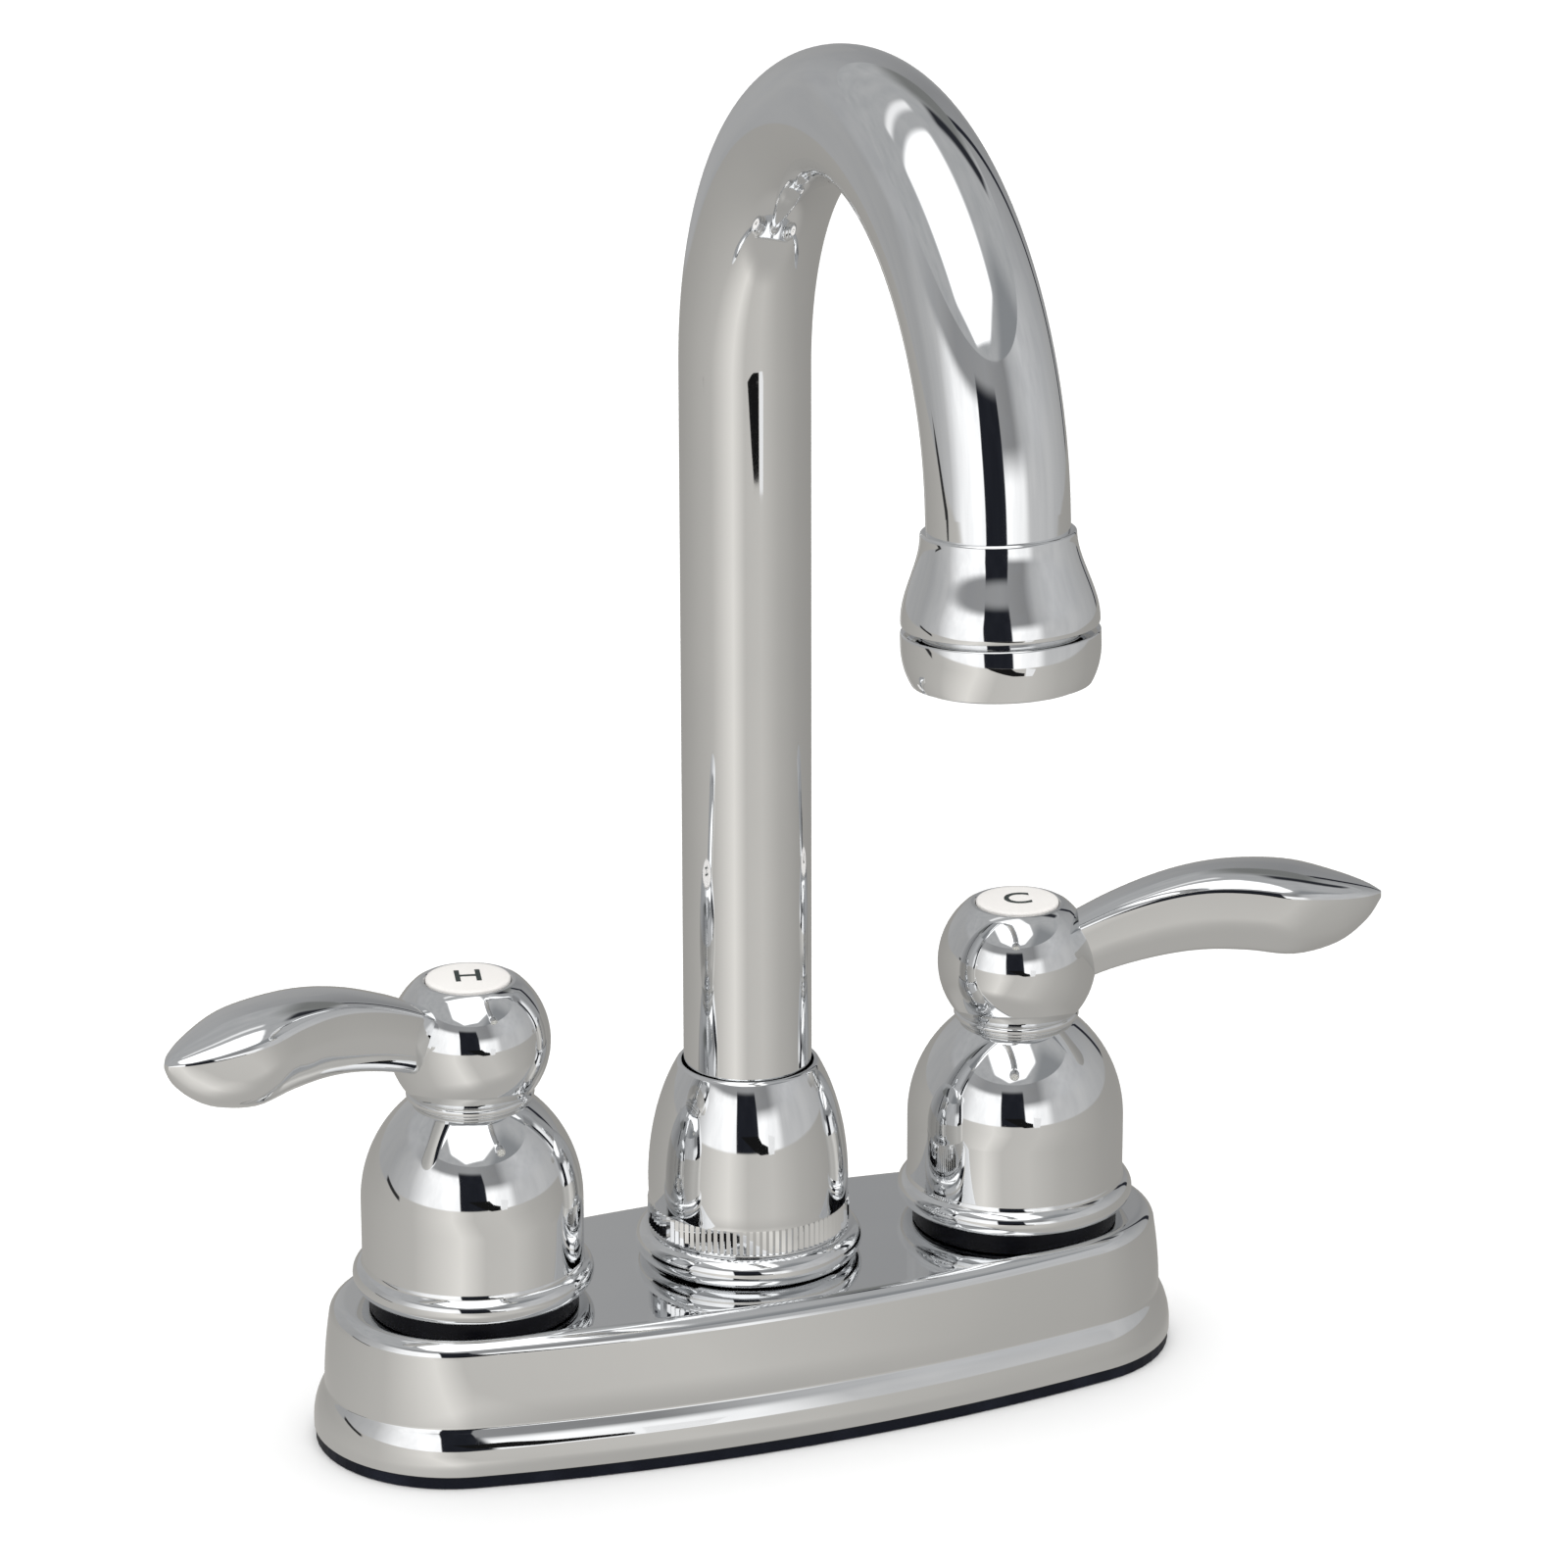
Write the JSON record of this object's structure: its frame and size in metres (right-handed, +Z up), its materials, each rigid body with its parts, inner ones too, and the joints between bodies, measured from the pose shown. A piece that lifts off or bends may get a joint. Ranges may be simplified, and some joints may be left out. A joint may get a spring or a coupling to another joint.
{
  "type": "gooseneck bar faucet",
  "caption": "Chrome gooseneck bar faucet with two lever handles on a centreset base, swivelling spout and threaded shanks below.",
  "frame": {"origin": "middle of the base gasket's underside, where it meets the sink deck, on the spout's swivel axis", "axes": "+Z up along the spout's riser, +X from the hot valve towards the cold valve, -Y towards the user"},
  "size_m": [0.2212, 0.1522, 0.2991],
  "materials": {
    "chrome": "polished",
    "brass": "machined",
    "steel": "brushed",
    "black_rubber": "matte",
    "black_plastic": "satin",
    "nylon": "satin",
    "porcelain": "glossy",
    "disc_ceramic": "polished"
  },
  "bodies": {
    "base": {"deck_gasket": "black_rubber", "deck_cover": "chrome", "waterway_body": "brass", "mounting_washers": "steel", "mounting_nuts": "brass", "hot_glide_ring": "black_plastic", "cold_glide_ring": "black_plastic", "hot_seat_seal": "black_rubber", "cold_seat_seal": "black_rubber", "hot_fixed_disc": "disc_ceramic", "cold_fixed_disc": "disc_ceramic", "hot_cartridge_housing": "brass", "cold_cartridge_housing": "brass", "hot_body_o_ring": "black_rubber", "cold_body_o_ring": "black_rubber", "spout_flange_ring": "chrome", "spout_nut": "chrome", "spout_bearing_washer": "nylon", "spout_retaining_washer": "nylon"},
    "hot_handle_assembly": {"hot_handle": "chrome", "hot_lever": "chrome", "hot_index_button": "porcelain", "hot_handle_screw": "steel", "hot_stem": "brass", "hot_stem_clip": "steel", "hot_moving_disc": "disc_ceramic", "hot_stem_o_rings": "black_rubber"},
    "cold_handle_assembly": {"cold_handle": "chrome", "cold_lever": "chrome", "cold_index_button": "porcelain", "cold_handle_screw": "steel", "cold_stem": "brass", "cold_stem_clip": "steel", "cold_moving_disc": "disc_ceramic", "cold_stem_o_rings": "black_rubber"},
    "spout_assembly": {"spout_tube": "chrome", "spout_tail": "brass", "spout_o_rings": "black_rubber", "outlet_collar": "chrome", "aerator_ring": "chrome", "aerator_insert": "nylon", "aerator_washer": "black_rubber"}
  },
  "joints": [
    {"name": "hot_handle_turn", "type": "hinge", "parent": "base", "child": "hot_handle_assembly", "pos_m": [-0.0508, 0, 0.0252], "axis": [0, 0, 1], "range_deg": [0, 90]},
    {"name": "cold_handle_turn", "type": "hinge", "parent": "base", "child": "cold_handle_assembly", "pos_m": [0.0508, 0, 0.0252], "axis": [0, 0, -1], "range_deg": [0, 90]},
    {"name": "spout_swivel", "type": "hinge", "parent": "base", "child": "spout_assembly", "pos_m": [0, 0, 0.0252], "axis": [0, 0, 1], "continuous": true}
  ]
}
